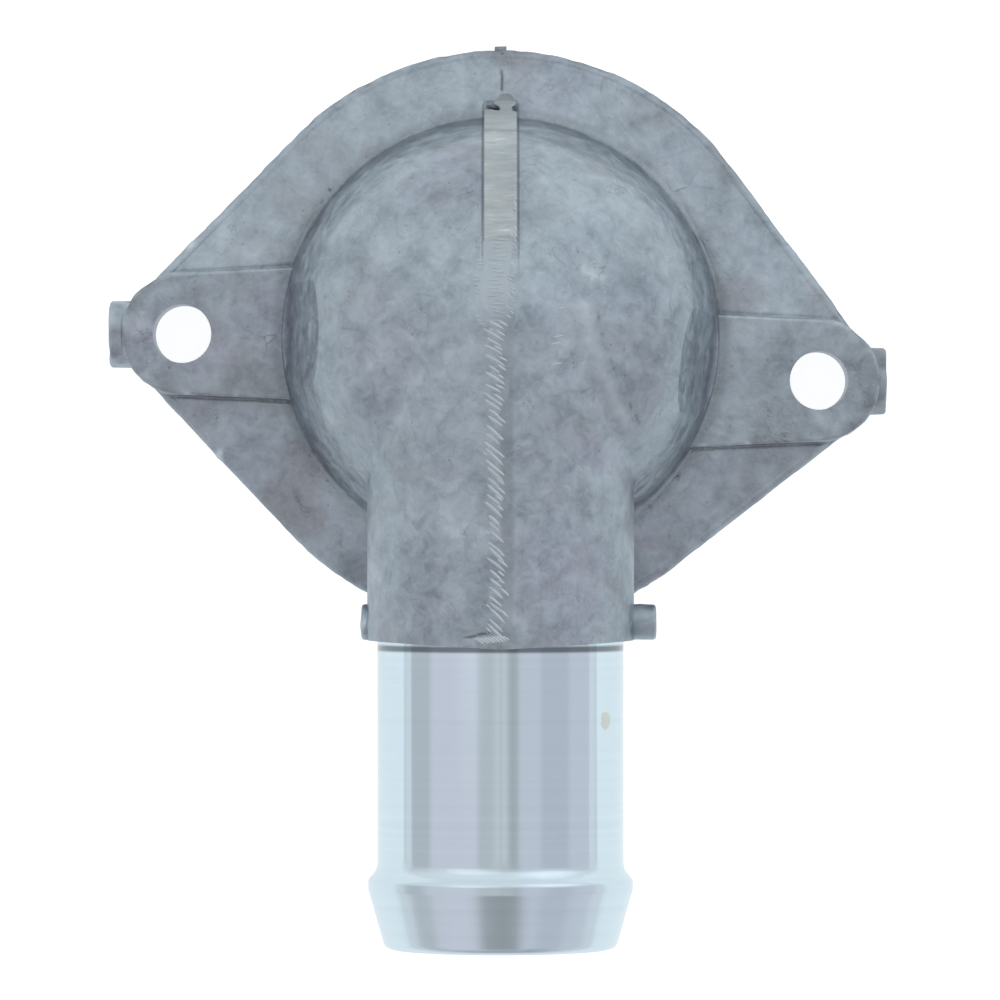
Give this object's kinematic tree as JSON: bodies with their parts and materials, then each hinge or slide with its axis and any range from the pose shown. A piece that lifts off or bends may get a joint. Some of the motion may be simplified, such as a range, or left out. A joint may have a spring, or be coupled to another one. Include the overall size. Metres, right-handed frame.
{
  "type": "thermostat housing",
  "caption": "Cast aluminium coolant outlet: a dome over the thermostat, bolt ears each side, and a turned hose neck with a bead.",
  "frame": {"origin": "where the thermostat's axis meets the milled joint face", "axes": "+Z away from the engine along the thermostat's axis, -Y along the hose neck towards its open end, +X towards the lower bolt ear"},
  "size_m": [0.1025, 0.1182, 0.0393],
  "materials": {
    "cast_aluminium": "as-cast blue-grey skin, with bright turned faces on the hose neck and a milled joint face"
  },
  "bodies": {
    "root": {"housing_casting": "cast_aluminium"}
  },
  "joints": []
}
